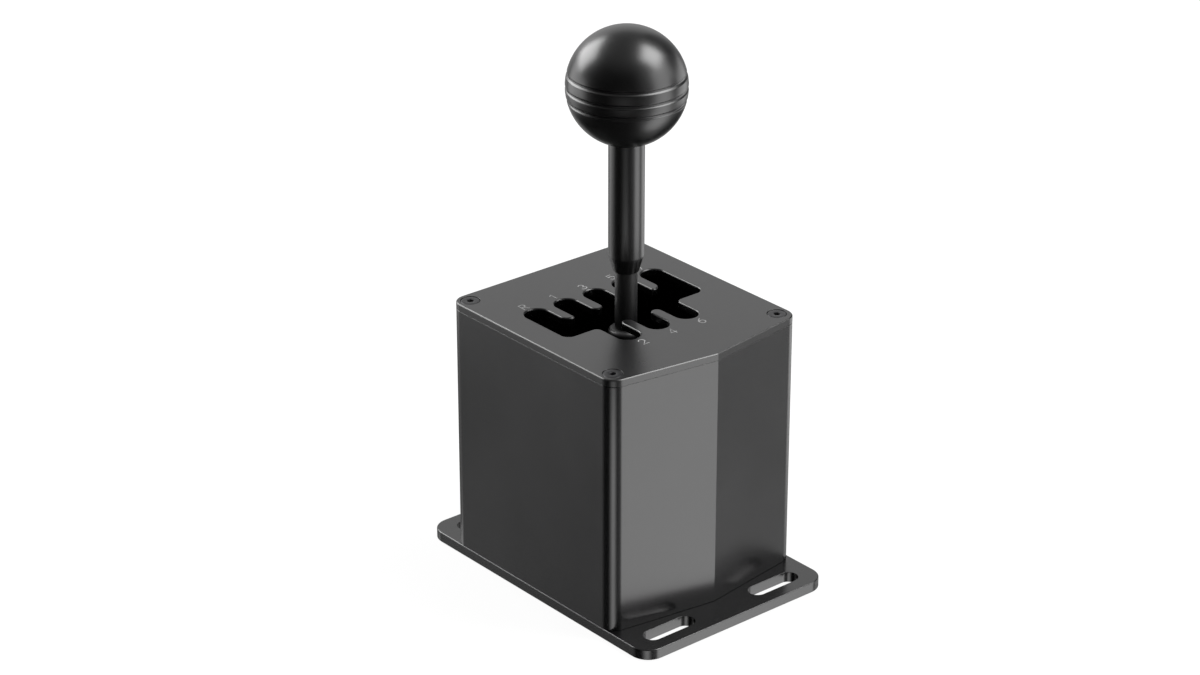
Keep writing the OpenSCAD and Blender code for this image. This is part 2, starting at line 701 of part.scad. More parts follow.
module sensor_board() color(board_green) translate([0, 0, z_pivot]) difference() {
    translate([-yoke_w / 2 - post_l - pcb_t, -post_y - sensor_edge, -sensor_h / 2])
        cube([pcb_t, 2 * (post_y + sensor_edge), sensor_h]);
    for (y = [-post_y, post_y]) translate([0, y, 0])
        along_x(board_screw_d + 2 * play, -yoke_w / 2 - post_l - pcb_t - cut, -yoke_w / 2 - post_l + cut);
}

module shift_sensor() color([0.08, 0.08, 0.09]) translate([0, 0, z_pivot])
    translate([-yoke_w / 2 - post_l, -chip_w / 2, -chip_w / 2]) cube([chip_t, chip_w, chip_w]);

module sensor_screws() color(steel) translate([0, 0, z_pivot]) for (y = [-post_y, post_y])
    translate([0, y, 0]) {
        x0 = -yoke_w / 2 - post_l - pcb_t;
        along_x(board_screw_d, x0 - eps, x0 + pcb_t + board_tap_l - 0.5);
        along_x(board_head_d, x0 - board_head_h, x0);
    }

// Hub: a barrel on the cross shaft, a neck for the rod and a boss for the plunger
module lever_hub() color([0.36, 0.37, 0.39]) translate([0, 0, z_pivot]) difference() {
    union() {
        along_x(hub_d, -hub_w / 2, hub_w / 2);
        cylinder(d = neck_d, h = neck_h - 1);
        translate([0, 0, neck_h - 1]) cylinder(d1 = neck_d, d2 = neck_d - 2, h = 1);
        translate([0, 0, -boss_r]) cylinder(d = boss_d, h = boss_r);
    }
    along_x(bearing_id + 2 * fit, -hub_w / 2 - cut, hub_w / 2 + cut);
    translate([0, 0, rod_seat]) cylinder(d = rod_low_d + 2 * fit, h = neck_h);
    translate([0, 0, -boss_r - cut]) cylinder(d = bore_d + 2 * fit, h = boss_r - bore_top + cut);
    translate([0, 0, (rod_seat + neck_h) / 2]) along_x(pin_d + 2 * fit, -neck_d, neck_d);
}

module cross_shaft() color(steel) translate([0, 0, z_pivot]) difference() {
    along_x(bearing_id, -shaft_end, shaft_end);
    both_x() translate([yoke_w / 2 + clip_gap, 0, 0]) rotate([0, 90, 0]) clip_seat(bearing_id);
}

module shaft_clips() color(steel) translate([0, 0, z_pivot])
    both_x() translate([yoke_w / 2 + clip_gap, 0, 0]) rotate([0, 90, 0]) clip(bearing_id);

module shift_magnet() color([0.72, 0.72, 0.74]) translate([0, 0, z_pivot])
    along_x(magnet_d, -shaft_end - magnet_t, -shaft_end);

// Rod: thick up to the collar, slim through the gate, then a stud inside the handle shaft
module lever_rod() color(black_steel) difference() {
    union() {
        translate([0, 0, z_pivot + rod_seat]) cylinder(d = rod_low_d, h = collar_z - z_pivot - rod_seat);
        translate([0, 0, collar_z - eps]) cylinder(d = rod_d, h = lever_z - collar_z + eps);
        translate([0, 0, lever_z - eps]) cylinder(d = stud_d, h = rod_stud_l + eps);
    }
    translate([0, 0, z_pivot + (rod_seat + neck_h) / 2]) along_x(pin_d + 2 * fit, -neck_d, neck_d);
}

module rod_pin() color(steel) translate([0, 0, z_pivot + (rod_seat + neck_h) / 2])
    along_x(pin_d, -neck_d / 2 + 0.5, neck_d / 2 - 0.5);

// Turned collar with a rounded shoulder, locked by a grub screw
module rod_collar() color([0.30, 0.30, 0.32]) translate([0, 0, collar_z]) difference() {
    shoulder = 2;
    rotate_extrude() difference() {
        union() {
            square([collar_d / 2, collar_t - shoulder]);
            square([collar_d / 2 - shoulder, collar_t]);
            translate([collar_d / 2 - shoulder, collar_t - shoulder]) circle(shoulder);
        }
        translate([-collar_d, -cut]) square([collar_d, collar_t + 2 * cut]);
    }
    translate([0, 0, -cut]) cylinder(d = rod_d + 2 * fit, h = collar_t + 2 * cut);
    translate([0, 0, collar_t / 2 - grub_drop]) rotate(-90) along_x(grub_d + 2 * fit, 0, collar_d);
}

module collar_screw() color(steel) translate([0, 0, collar_z + collar_t / 2 - grub_drop]) rotate(-90) difference() {
    along_x(grub_d, rod_d / 2 + fit, collar_d / 2 - 0.4);
    translate([collar_d / 2 - key_depth, 0, 0]) rotate([0, 90, 0])
        cylinder(d = grub_key_w / cos(30), h = key_depth + cut, $fn = 6);
}

module handle_shaft() color(aluminium) difference() {
    edge = 0.4;
    rotate_extrude() polygon([[0, lever_z], [cone_d / 2, lever_z], [handle_d / 2, shaft_z],
        [handle_d / 2, shaft_top - edge], [handle_d / 2 - edge, shaft_top], [0, shaft_top]]);
    translate([0, 0, lever_z - cut]) cylinder(d = stud_d + 2 * fit, h = rod_stud_l + 1 + cut);
    translate([0, 0, shaft_top - knob_stud_l]) cylinder(d = stud_d + 2 * fit, h = knob_stud_l + cut);
}

module knob_stud() color(steel) translate([0, 0, shaft_top - knob_stud_l + stud_end_gap])
    cylinder(d = stud_d, h = knob_stud_l + insert_l - insert_floor - 3 * stud_end_gap);

module knob_insert() color([0.78, 0.62, 0.32]) translate([0, 0, shaft_top + play]) difference() {
    cylinder(d = insert_d, h = insert_l);
    translate([0, 0, -cut]) cylinder(d = stud_d + 2 * fit, h = insert_l - insert_floor + cut);
}

// Ball with three turned V grooves and a flat with a small chamfer round the insert
module ball_knob() color([0.07, 0.07, 0.075]) translate([0, 0, knob_z]) difference() {
    r = knob_d / 2;
    sphere(r, $fn = 128);
    for (z = groove_z) {
        rg = sqrt(r * r - z * z);
        rotate_extrude() polygon([[rg - groove_depth, z], [rg + groove_depth, z - groove_w],
            [rg + groove_depth, z + groove_w]]);
    }
    translate([0, 0, -r - cut]) cylinder(d = knob_d, h = r + cut - knob_cut + play);
    translate([0, 0, -knob_cut]) cylinder(d = insert_d + 2 * fit, h = insert_l + play + 0.1);
}

module plunger_sleeve() color([0.78, 0.62, 0.32]) translate([0, 0, z_pivot]) difference() {
    union() {
        translate([0, 0, -boss_r - fit]) cylinder(d = bore_d, h = sleeve_l + fit);
        translate([0, 0, -boss_r - flange_t]) cylinder(d = bore_d + 2.2, h = flange_t - fit);
    }
    translate([0, 0, -boss_r - flange_t - cut])
        cylinder(d = plunger_d + 2 * run, h = sleeve_l + flange_t + 2 * cut);
}

module detent_spring() color(steel) translate([0, 0, z_pivot - shoulder_r + play / 2])
    coil(plunger_d + 1.4, 0.6, shoulder_r - bore_top - play, 5);

// Plunger, drawn back to the level of the track: it drops into a notch by its stroke
module detent_plunger() color(steel) translate([0, 0, z_pivot]) {
    translate([0, 0, -shoulder_r - collar_l]) cylinder(d = bore_d - 2 * run, h = collar_l);
    translate([0, 0, -tip_r + ball_r]) cylinder(d = plunger_d, h = tip_r - ball_r - shoulder_r);
    translate([0, 0, -tip_r + ball_r]) sphere(ball_r, $fn = 48);
}

base_plate();
housing();
top_cover();
cover_screws();
base_screws();
pivot_bracket();
bracket_screws();
select_bearings();
centring_springs();
main_board();
board_chips();
select_sensor();
cable_socket();
select_yoke();
select_pins();
thrust_washers();
select_clips();
select_magnet();
shift_bearings();
detent_cam();
cam_screws();
sensor_posts();
sensor_board();
shift_sensor();
sensor_screws();
lever_hub();
cross_shaft();
shaft_clips();
shift_magnet();
lever_rod();
rod_pin();
rod_collar();
collar_screw();
handle_shaft();
knob_stud();
knob_insert();
ball_knob();
plunger_sleeve();
detent_spring();
detent_plunger();
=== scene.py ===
# %% [markdown]
# # A gear shifter for a driving simulator
# A black anodised box with a slotted gate in its cover, a turned lever and a ball knob. The
# solids come from a CAD model and keep their places. Here each one gets its rounded edges, its
# small details and its finish, one cell at a time.

import math

import bmesh
import bpy
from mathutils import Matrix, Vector


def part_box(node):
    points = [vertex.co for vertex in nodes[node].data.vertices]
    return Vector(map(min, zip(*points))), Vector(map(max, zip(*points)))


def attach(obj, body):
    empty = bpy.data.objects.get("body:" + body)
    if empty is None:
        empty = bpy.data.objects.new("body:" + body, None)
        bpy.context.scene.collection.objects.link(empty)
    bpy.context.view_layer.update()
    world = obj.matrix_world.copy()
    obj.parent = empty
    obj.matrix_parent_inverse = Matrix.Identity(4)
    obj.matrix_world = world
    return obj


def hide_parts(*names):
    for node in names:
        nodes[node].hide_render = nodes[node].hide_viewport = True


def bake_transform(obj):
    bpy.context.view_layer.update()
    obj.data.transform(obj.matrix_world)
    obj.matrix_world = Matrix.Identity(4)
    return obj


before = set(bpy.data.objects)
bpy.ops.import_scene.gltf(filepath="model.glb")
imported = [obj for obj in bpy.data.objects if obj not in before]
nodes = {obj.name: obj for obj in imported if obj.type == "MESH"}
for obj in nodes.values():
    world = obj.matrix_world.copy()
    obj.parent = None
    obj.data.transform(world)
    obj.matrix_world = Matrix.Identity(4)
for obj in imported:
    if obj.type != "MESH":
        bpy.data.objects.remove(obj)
scene = bpy.context.scene
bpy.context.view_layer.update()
MM = 0.001

# %% [markdown]
# ## Camera
# The photograph was taken from the front left, a good way above the gate, with a long lens, so
# the upright edges stay almost parallel. The camera is placed first. It could be aimed by eye,
# but its place was worked out from the box's corners, so that edges fall on edges.

# %% Camera
CAMERA_AT = Vector((-0.8095, -0.9467, 0.6858))
CAMERA_BACK = Vector((-0.5831, -0.6940, 0.4223))
SENSOR_WIDTH = 36.0
FOCAL_LENGTH = 99.07
NEAREST, FURTHEST = 0.05, 50.0
lens_data = bpy.data.cameras.new("camera")
lens_data.sensor_width = SENSOR_WIDTH
lens_data.lens = FOCAL_LENGTH
lens_data.clip_start = NEAREST
lens_data.clip_end = FURTHEST
camera = bpy.data.objects.new("camera", lens_data)
camera.location = CAMERA_AT
camera.rotation_mode = "QUATERNION"
camera.rotation_quaternion = (-CAMERA_BACK).to_track_quat("-Z", "Y")
scene.collection.objects.link(camera)
scene.camera = camera
print("camera", round(CAMERA_AT.length, 3), "m from the origin")

# %% [markdown]
# ## Shader and geometry maths as Python
# Node trees get long when every sum is a node placed by hand. A small class that wraps a
# socket and overloads the operators lets a rule be written as an expression, such as
# `1 - mask * 0.3`, and adds the Math nodes by itself. The same class serves shaders and
# Geometry Nodes, since both know the Math node.


# %% A socket that Python's operators work on
class Wire:
    def __init__(self, graph, socket):
        self.graph = graph
        self.socket = socket

    def math(self, operation, *terms):
        return self.graph.math(operation, *terms)

    def __add__(self, other):
        return self.math("ADD", self, other)

    def __radd__(self, other):
        return self.math("ADD", other, self)

    def __sub__(self, other):
        return self.math("SUBTRACT", self, other)

    def __rsub__(self, other):
        return self.math("SUBTRACT", other, self)

    def __mul__(self, other):
        return self.math("MULTIPLY", self, other)

    def __rmul__(self, other):
        return self.math("MULTIPLY", other, self)

    def __truediv__(self, other):
        return self.math("DIVIDE", self, other)

    def __rtruediv__(self, other):
        return self.math("DIVIDE", other, self)


# %% One method for every other node
# Numbers of the Mix node's sockets when it mixes colours
MIX_FACTOR, MIX_FIRST, MIX_SECOND, MIX_RESULT = 0, 6, 7, 2


class Graph:
    """A node tree. node() makes a node from its type, its settings and its sockets' values."""

    def __init__(self, tree):
        self.tree = tree

    def node(self, kind, settings=None, *values, out=0, **named):
        made = self.tree.nodes.new(kind)
        for key, value in (settings or {}).items():
            if key == "stops":
                ramp = made.color_ramp
                while len(ramp.elements) < len(value):
                    ramp.elements.new(0.5)
                for element, (place, shade) in zip(ramp.elements, value):
                    element.position = place
                    element.color = shade
            else:
                setattr(made, key, value)
        for place, value in [*enumerate(values), *named.items()]:
            if isinstance(place, str):
                place = place.replace("_", " ")
            socket = made.inputs[place]
            if isinstance(value, Wire):
                self.tree.links.new(value.socket, socket)
            else:
                socket.default_value = value
        return Wire(self, made.outputs[out])

    def math(self, operation, *terms):
        return self.node("ShaderNodeMath", {"operation": operation}, *terms)

    def noise(self, size, detail=2.0, stretch=(1, 1, 1), rough=0.5):
        """Noise on Object coordinates whose blotches are about size metres across."""
        where = self.node("ShaderNodeTexCoord", out="Object")
        where = self.node("ShaderNodeMapping", None, where, Scale=stretch)
        return self.node("ShaderNodeTexNoise", None, Vector=where, Scale=1 / size, Detail=detail,
                         Roughness=rough)

    def ramp(self, value, *stops):
        grey = [(place, (shade, shade, shade, 1)) for place, shade in stops]
        return self.node("ShaderNodeValToRGB", {"stops": grey}, value)

    def blend(self, factor, a, b):
        """A colour between a and b, by a factor that is a wire."""
        mixed = self.tree.nodes.new("ShaderNodeMix")
        mixed.data_type = "RGBA"
        self.tree.links.new(factor.socket, mixed.inputs[MIX_FACTOR])
        for place, value in ((MIX_FIRST, a), (MIX_SECOND, b)):
            if isinstance(value, Wire):
                self.tree.links.new(value.socket, mixed.inputs[place])
            else:
                mixed.inputs[place].default_value = (*value, 1)
        return Wire(self, mixed.outputs[MIX_RESULT])

    def bump(self, height, strength, depth):
        return self.node("ShaderNodeBump", None, Strength=strength, Distance=depth, Height=height)


def ease(value, low, high):
    """0 where value is under low, 1 where it is over high, and smooth between them."""
    smooth = {"interpolation_type": "SMOOTHSTEP"}
    return value.graph.node("ShaderNodeMapRange", smooth, value, low, high)


def split(graph, wire):
    """The three parts of a vector."""
    apart = graph.tree.nodes.new("ShaderNodeSeparateXYZ")
    graph.tree.links.new(wire.socket, apart.inputs[0])
    return [Wire(graph, socket) for socket in apart.outputs]


def start(name):
    """A Graph on a new material's tree, and the material itself."""
    made = bpy.data.materials.new(name)
    made.use_nodes = True
    return Graph(made.node_tree), made


def connect(made, plain=None, **varying):
    """Feeds the Principled shader. plain holds constants and varying wires, by socket name."""
    shader = made.node_tree.nodes["Principled BSDF"]
    for key, value in (plain or {}).items():
        shader.inputs[key].default_value = value
    for key, value in varying.items():
        made.node_tree.links.new(value.socket, shader.inputs[key.replace("_", " ")])
    print("finish", made.name, len(made.node_tree.nodes), "nodes")
    return made


# %% [markdown]
# ## Black anodised aluminium
# The box, its cover and its base are milled, blasted with fine glass beads and dyed black. Up
# close that is a very fine matt grain. From further away the colour drifts a little and the
# gloss changes with handling. A flat black would look like plastic, so the colour, the
# roughness and the grain each follow their own noise.


# %% Black anodised aluminium
# The gate lies within these distances of the cover's middle
GATE_X = 40 * MM
GATE_Y = 26 * MM
# How softly the painted shade on the gate's walls comes in, and its near-black colour
WALL_SHADE_EDGE = 0.1 * MM
WALL_SHADE_BLACK = (0.001, 0.001, 0.001)


def blasted_black(name, dark, light, gloss, shade_below=None):
    """The height given last is where painted shade starts: the gate's walls below it are near-black
    and smoother.
    """
    g, made = start(name)
    drift = g.noise(0.035, 3.0)
    pits = g.noise(0.00035, 2.0)
    dust = g.noise(0.004, 4.0, rough=0.65)
    tone = g.blend(drift * 0.6 + pits * 0.4, dark, light)
    rough = gloss - 0.035 + drift * 0.05 + dust * 0.03
    if shade_below:
        # Painted shade: inside the gate, the walls below that height are painted near-black and
        # made a little smoother
        x, y, z = split(g, g.node("ShaderNodeTexCoord", out="Object"))
        inside = (g.math("LESS_THAN", g.math("ABSOLUTE", x), GATE_X)
                  * g.math("LESS_THAN", g.math("ABSOLUTE", y), GATE_Y))
        wall_shade = inside * (1 - ease(z, shade_below - WALL_SHADE_EDGE, shade_below + WALL_SHADE_EDGE))
        tone = g.blend(wall_shade, tone, WALL_SHADE_BLACK)
        rough = rough - wall_shade * 0.1
    return connect(made, {"Metallic": 0.0, "IOR": 1.7}, Base_Color=tone, Roughness=rough,
                   Normal=g.bump(pits * 0.7 + dust * 0.3, strength=0.16, depth=0.01 * MM))


DARK, LIGHT = (0.004, 0.004, 0.0043), (0.008, 0.008, 0.0085)
shell_black = blasted_black("shell_black", DARK, LIGHT, gloss=0.23)
# The cover gets painted shade on its gate's walls, below its upper face
cover_black = blasted_black("cover_black", DARK, LIGHT, gloss=0.28, shade_below=118 * MM)

# %% [markdown]
# ## Turned and plated finishes
# The handle shaft and the knob come off a lathe, which leaves rings far finer than a hair.
# They show as a slight stretch of the highlights. The rings follow the height along the
# lever, so the noise is squeezed along Z and drawn out round it.


# %% Turned finishes
def turned(name, dark, light, gloss, metal, ring=0.12 * MM, strength=0.2):
    """ring is about the distance between rings, and strength is that of their bumps."""
    g, made = start(name)
    rings = g.noise(ring, 2.0, stretch=(0.02, 0.02, 1.0))
    smear = g.noise(0.012, 3.0)
    tone = g.blend(smear * 0.7 + rings * 0.3, dark, light)
    rough = gloss - 0.03 + smear * 0.04 + rings * 0.02
    return connect(made, {"Metallic": metal, "IOR": 1.7}, Base_Color=tone, Roughness=rough,
                   Normal=g.bump(rings, strength, depth=0.0015 * MM))


handle_black = turned("handle_black", (0.0035, 0.0035, 0.0037), (0.0070, 0.0070, 0.0075), 0.29,
                      0.0)
knob_black = turned("knob_black", (0.0025, 0.0025, 0.0027), (0.0050, 0.0050, 0.0053), 0.31, 0.0,
                    strength=0.12)
rod_black = turned("rod_black", (0.007, 0.007, 0.0073), (0.013, 0.013, 0.0135), 0.44, 0.0)
screw_black = turned("screw_black", (0.030, 0.030, 0.032), (0.055, 0.055, 0.058), 0.36, 0.75)
ground_steel = turned("ground_steel", (0.42, 0.43, 0.45), (0.58, 0.59, 0.61), 0.24, 1.0)
turned_brass = turned("turned_brass", (0.52, 0.36, 0.14), (0.70, 0.52, 0.25), 0.26, 1.0)
nickel = turned("nickel", (0.58, 0.58, 0.56), (0.70, 0.70, 0.69), 0.14, 1.0, strength=0.1)
spring_steel = turned("spring_steel", (0.30, 0.31, 0.33), (0.48, 0.49, 0.51), 0.30, 1.0,
                      ring=0.6 * MM)


# %% [markdown]
# ## Milled, moulded and etched finishes
# The mechanism is milled, so its grain is drawn out along one axis. Plastic has a fine moulded
# grain, the boards show faint tracks under green lacquer, and the gear marks are an even grey.
# Painted textures could show more, but these pieces are small or hidden, and a rule costs
# little.

# %% Milled grey aluminium of the mechanism
def milled_grey():
    g, made = start("milled_grey")
    paths = g.noise(0.0006, 2.0, stretch=(1.0, 0.06, 1.0))
    drift = g.noise(0.01, 3.0)
    tone = g.blend(paths * 0.5 + drift * 0.5, (0.24, 0.245, 0.26), (0.40, 0.41, 0.43))
    return connect(made, {"Metallic": 1.0}, Base_Color=tone, Roughness=0.28 + drift * 0.14,
                   Normal=g.bump(paths, 0.3, 0.000008))


grey_aluminium = milled_grey()


# %% Moulded plastic, circuit board and the etched marks
def moulded():
    g, made = start("moulded_black")
    grain = g.noise(0.0003, 3.0)
    tone = g.blend(grain, (0.010, 0.010, 0.011), (0.024, 0.024, 0.025))
    return connect(made, None, Base_Color=tone, Roughness=0.42 + grain * 0.12,
                   Normal=g.bump(grain, 0.25, 0.00001))


def board_finish():
    g, made = start("circuit_board")
    where = g.node("ShaderNodeTexCoord", out="Object")
    square = {"feature": "DISTANCE_TO_EDGE", "distance": "CHEBYCHEV"}
    cells = g.node("ShaderNodeTexVoronoi", square, Vector=where, Scale=260.0)
    tracks = g.ramp(cells, (0.04, 1.0), (0.07, 0.0))
    weave = g.noise(0.0005, 2.0)
    mask = g.blend(weave, (0.008, 0.055, 0.028), (0.014, 0.085, 0.042))
    tone = g.blend(tracks * 0.7, mask, (0.03, 0.16, 0.07))
    return connect(made, None, Base_Color=tone, Roughness=0.28 + weave * 0.1,
                   Normal=g.bump(tracks + weave * 0.1, 0.3, 0.00003))


def etched():
    g, made = start("etched_grey")
    speck = g.noise(0.0002, 2.0)
    tone = g.blend(speck, (0.30, 0.30, 0.30), (0.46, 0.46, 0.46))
    return connect(made, None, Base_Color=tone, Roughness=0.55 + speck * 0.15,
                   Normal=g.bump(speck, 0.2, 0.000005))


moulded_black = moulded()
circuit_board = board_finish()
etched_grey = etched()

# %% [markdown]
# ## Rounding the edges of the CAD solids
# Nothing real has a perfectly sharp edge, and it is the thin bright line along a rounded edge
# that shows where one face ends. A node's own mesh isn't changed. A copy is merged, its flat
# areas are joined into single faces, and a Bevel modifier rounds what is left. The Weighted
# Normal modifier then keeps the large faces looking flat. Modelling each part again by hand
# would risk its fit with its neighbours.


# %% Helpers for making pieces
def link(name, mesh):
    made = bpy.data.objects.new(name, mesh)
    scene.collection.objects.link(made)
    return made


def plain_mesh(obj):
    """The object's mesh with its modifiers worked in."""
    graph = bpy.context.evaluated_depsgraph_get()
    return bpy.data.meshes.new_from_object(obj.evaluated_get(graph), depsgraph=graph)


def settle(piece, body, slot, *stands_for):
    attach(piece, body)
    if stands_for:
        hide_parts(*stands_for)
    print(f"{piece.name}: {len(piece.data.polygons)} faces on {body}")
    return piece


def face_outwards(mesh, merge=None):
    """Turns a closed skin's faces outwards, once points nearer than merge are one."""
    shape = bmesh.new()
    shape.from_mesh(mesh)
    if merge:
        bmesh.ops.remove_doubles(shape, verts=shape.verts, dist=merge)
    bmesh.ops.recalc_face_normals(shape, faces=shape.faces)
    print(mesh.name, "open edges", sum(edge.is_boundary for edge in shape.edges))
    shape.to_mesh(mesh)
    shape.free()


# %% Rounded copies of nodes
# Degrees that the surface turns at an edge which needs rounding
CLEAR_TURN = 30
RIDGE_TURN = 10


def sharp(edge, turn):
    """1 for an edge that needs rounding: a clear turn, or the slight one of the front's ridge."""
    middle = (edge.verts[0].co + edge.verts[1].co) / 2
    on_ridge = abs(middle.x) < 0.3 * MM and middle.y < -30 * MM
    return float(turn > (RIDGE_TURN if on_ridge else CLEAR_TURN))


def round_off(name, source, width, surface, weigh=sharp, clamp=True):
    """A copy of a mesh with its edges rounded. weigh(edge, turn) is an edge's share of width."""
    shape = bmesh.new()
    shape.from_mesh(source)
    bmesh.ops.remove_doubles(shape, verts=shape.verts, dist=0.000002)
    bmesh.ops.dissolve_limit(shape, angle_limit=math.radians(0.5), verts=shape.verts,
                             edges=shape.edges)
    share = shape.edges.layers.float.new("bevel_weight_edge")
    for edge in shape.edges:
        edge[share] = weigh(edge, math.degrees(edge.calc_face_angle(0.0)))
    mesh = bpy.data.meshes.new(name)
    shape.to_mesh(mesh)
    shape.free()
    mesh.shade_smooth()
    made = link(name, mesh)
    bevel = made.modifiers.new("round", "BEVEL")
    bevel.limit_method = "WEIGHT"
    bevel.width = width
    bevel.segments = 3
    bevel.miter_outer = "MITER_ARC"
    bevel.use_clamp_overlap = clamp
    even = made.modifiers.new("even", "WEIGHTED_NORMAL")
    even.weight = 80
    flat = plain_mesh(made)
    made.modifiers.clear()
    made.data = flat
    made.data.materials.clear()
    made.data.materials.append(surface)
    return made


def dress(node, width, surface, body, slot, name=None, weigh=sharp, clamp=True):
    """Stands a copy with edges rounded by width millimetres in for a node."""
    name = name or node + "_rounded"
    made = round_off(name, nodes[node].data, width * MM, surface, weigh, clamp)
    return settle(made, body, slot, node)


# %% [markdown]
# ## Box, base plate and cover
# These three make most of the picture. The box and the base plate only need the arris taken
# off their chamfers. The cover is laser cut and tumbled, so the edge of its gate is rounder
# than its outer chamfer. The weight of each edge tells the Bevel modifier which is which.

# %% Box and base plate
dress("base_plate", 0.14, shell_black, "root", "black_anodised")
dress("housing", 0.12, shell_black, "root", "black_anodised")

# %% Cover with the round edge of its gate
# The height of the cover's upper face, and the share of the gate's rounding that the rim gets
TOP = 118.8 * MM
RIM_SHARE = 0.15


def gate_weight(edge, turn):
    middle = (edge.verts[0].co + edge.verts[1].co) / 2
    along_gate = abs(middle.x) < GATE_X and abs(middle.y) < GATE_Y
    at_top = min(v.co.z for v in edge.verts) > TOP - 0.01 * MM
    upright = abs(edge.verts[0].co.z - edge.verts[1].co.z) > 1 * MM
    if along_gate and at_top:
        return float(turn > CLEAR_TURN)
    return 0.0 if along_gate and upright else sharp(edge, turn) * RIM_SHARE


dress("top_cover", 0.70, cover_black, "root", "black_anodised", "gate_cover", gate_weight, False)

# %% [markdown]
# ## Gear marks
# Small light marks beside the lanes say which gear is where. They could be a font, but the
# real ones are single lines of even width, so each is a path. A Geometry Nodes tree runs a
# thin tube along every path, puts a ball at each point so that corners and ends are round,
# and then flattens the lot to the thickness of an etched layer.


# %% A tree with named inputs, and what runs it
def new_tree(name, **inputs):
    """A Geometry Nodes tree that takes a seed, the named inputs and a Surface."""
    tree = bpy.data.node_groups.new(name, "GeometryNodeTree")
    tree.interface.new_socket("Geometry", in_out="INPUT", socket_type="NodeSocketGeometry")
    tree.interface.new_socket("Geometry", in_out="OUTPUT", socket_type="NodeSocketGeometry")
    kinds = {float: "NodeSocketFloat", int: "NodeSocketInt"}
    for key, kind in inputs.items():
        tree.interface.new_socket(key, in_out="INPUT", socket_type=kinds[kind])
    tree.interface.new_socket("Surface", in_out="INPUT", socket_type="NodeSocketMaterial")
    graph = Graph(tree)
    entry = tree.nodes.new("NodeGroupInput")
    given = {socket.name: Wire(graph, socket) for socket in entry.outputs if socket.name}
    return graph, given


def close_tree(graph, shape, given):
    """Ends a tree in Realize Instances and Set Material."""
    real = graph.node("GeometryNodeRealizeInstances", None, shape)
    coated = graph.node("GeometryNodeSetMaterial", None, Geometry=real,
                        Material=given["Surface"])
    leave = graph.tree.nodes.new("NodeGroupOutput")
    graph.tree.links.new(coated.socket, leave.inputs[0])
    print("tree", graph.tree.name, len(graph.tree.nodes), "nodes")


def join(graph, *parts):
    """All the parts as one geometry."""
    whole = graph.tree.nodes.new("GeometryNodeJoinGeometry")
    for part in parts:
        graph.tree.links.new(part.socket, whole.inputs[0])
    return Wire(graph, whole.outputs[0])


def grow(name, graph, seed, surface, **sizes):
    """Runs the tree on the seed mesh. Each input is set by its identifier."""
    holder = link(name + "_seed", seed)
    run = holder.modifiers.new("grow", "NODES")
    run.node_group = graph.tree
    places = {item.name: item.identifier for item in graph.tree.interface.items_tree
              if item.in_out == "INPUT"}
    for key, value in {**sizes, "Surface": surface}.items():
        run[places[key]] = value
    mesh = plain_mesh(holder)
    bpy.data.objects.remove(holder)
    mesh.name = name
    return link(name, mesh)


def seed_mesh(name, points=((0, 0, 0),), edges=(), faces=()):
    mesh = bpy.data.meshes.new(name)
    mesh.from_pydata(points, edges, faces)
    return mesh


# %% The tree that draws a mark along its path
marks, given = new_tree("flat_marks", Line_width=float, Thickness=float, Height=float)
path = marks.node("GeometryNodeMeshToCurve", None, given["Geometry"])
ring = marks.node("GeometryNodeCurvePrimitiveCircle", None, Resolution=12,
                  Radius=given["Line_width"] / 2)
tube = marks.node("GeometryNodeCurveToMesh", None, path, ring)
ball = marks.node("GeometryNodeMeshUVSphere", None, Segments=12, Rings=6,
                  Radius=given["Line_width"] / 2)
dots = marks.node("GeometryNodeInstanceOnPoints", None, Points=path, Instance=ball)
both = join(marks, tube, marks.node("GeometryNodeRealizeInstances", None, dots))
flatter = given["Thickness"] / given["Line_width"]
squash = marks.node("ShaderNodeCombineXYZ", None, 1.0, 1.0, flatter)
lift = marks.node("ShaderNodeCombineXYZ", None, 0.0, 0.0, given["Height"])
laid = marks.node("GeometryNodeTransform", None, both, Translation=lift, Scale=squash)
close_tree(marks, laid, given)


# %% The paths of the marks
def arc(x, y, rx, ry, start_deg, end_deg, steps=14):
    """Points along part of an ellipse."""
    turns = [math.radians(start_deg + (end_deg - start_deg) * k / steps)
             for k in range(steps + 1)]
    return [(x + rx * math.cos(t), y + ry * math.sin(t)) for t in turns]


# Each mark is a list of paths in millimetres, 4.3 high and about 2.8 wide, on its base line
PATHS = {
    "R": [[(-1.25, 0), (-1.25, 4.3), (0.15, 4.3), *arc(0.15, 3.2, 1.1, 1.1, 90, -90), (-1.25, 2.1)],
          [(0.1, 2.1), (1.3, 0)]],
    "1": [[(-0.75, 3.45), (0.3, 4.3), (0.3, 0)]],
    "2": [[*arc(0, 3.0, 1.3, 1.3, 165, -38), (-1.35, 0), (1.4, 0)]],
    "3": [[*arc(0, 3.2, 1.15, 1.1, 160, -85, 12), *arc(0, 1.05, 1.35, 1.05, 85, -160)]],
    "4": [[(0.65, 0), (0.65, 4.3), (-1.45, 1.15), (1.45, 1.15)]],
    "5": [[(1.15, 4.3), (-0.95, 4.3), (-1.15, 2.35), *arc(0, 1.4, 1.35, 1.4, 128, -155)]],
    "6": [[(0.75, 4.3), *arc(0.85, 1.6, 2.2, 2.2, 140, 178, 6),
           *arc(0, 1.35, 1.35, 1.35, 180, 540, 24)]],
    "7": [[(-1.35, 4.3), (1.35, 4.3), (-0.35, 0)]],
}
